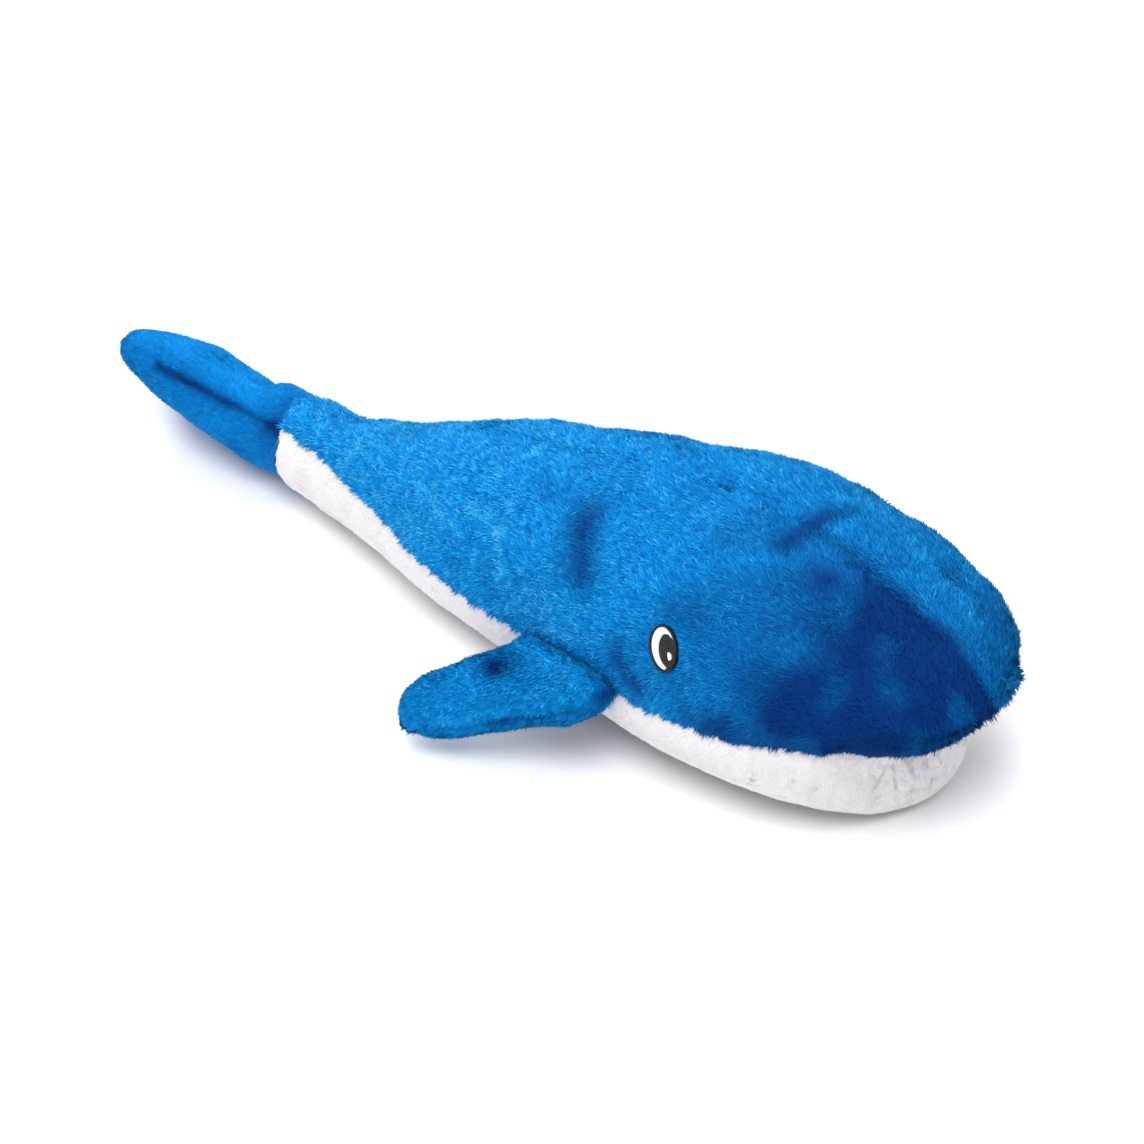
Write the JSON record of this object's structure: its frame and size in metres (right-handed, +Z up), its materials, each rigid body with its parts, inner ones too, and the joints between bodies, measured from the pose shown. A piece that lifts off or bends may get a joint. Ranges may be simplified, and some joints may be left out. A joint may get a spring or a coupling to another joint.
{
  "type": "plush whale",
  "caption": "Stuffed plush whale lying on its belly, with blue back panels, a white belly panel, embroidered eyes, hinged side flippers and a two-lobed tail.",
  "frame": {"origin": "on the floor below the middle of the whale's overall box", "axes": "+X towards the head, +Y towards the whale's left side, +Z up"},
  "size_m": [0.559, 0.2826, 0.1269],
  "materials": {
    "blue_plush": "short soft pile, matte",
    "white_plush": "short soft pile, matte",
    "black_thread": "satin stitch embroidery, slight sheen",
    "white_thread": "satin stitch embroidery, slight sheen",
    "fibre_fill": "loose polyester fibre, not seen"
  },
  "bodies": {
    "body": {"back_panel_right": "blue_plush", "back_panel_left": "blue_plush", "belly_panel": "white_plush", "body_filling": "fibre_fill", "eye_right_outline": "black_thread", "eye_right_white": "white_thread", "eye_right_pupil": "black_thread", "eye_right_glint": "white_thread", "eye_left_outline": "black_thread", "eye_left_white": "white_thread", "eye_left_pupil": "black_thread", "eye_left_glint": "white_thread"},
    "tail": {"tail_upper_panel": "blue_plush", "tail_lower_panel": "blue_plush", "tail_filling": "fibre_fill"},
    "flipper_right": {"flipper_right_upper_panel": "blue_plush", "flipper_right_lower_panel": "blue_plush", "flipper_right_filling": "fibre_fill"},
    "flipper_left": {"flipper_left_upper_panel": "blue_plush", "flipper_left_lower_panel": "blue_plush", "flipper_left_filling": "fibre_fill"}
  },
  "joints": [
    {"name": "tail_bend", "type": "hinge", "parent": "body", "child": "tail", "pos_m": [-0.15968, 0, 0.02778], "axis": [0, 0.7923, -0.6101], "range_deg": [-22, 22], "stiffness_Nm_per_rad": 1},
    {"name": "flipper_right_flap", "type": "hinge", "parent": "body", "child": "flipper_right", "pos_m": [0.08309, -0.08794, 0.04661], "axis": [-0.981, 0.1744, -0.0856], "range_deg": [-25, 70], "stiffness_Nm_per_rad": 0.3},
    {"name": "flipper_left_flap", "type": "hinge", "parent": "body", "child": "flipper_left", "pos_m": [0.08309, 0.08794, 0.04661], "axis": [0.981, 0.1744, 0.0856], "range_deg": [-25, 70], "stiffness_Nm_per_rad": 0.3}
  ]
}
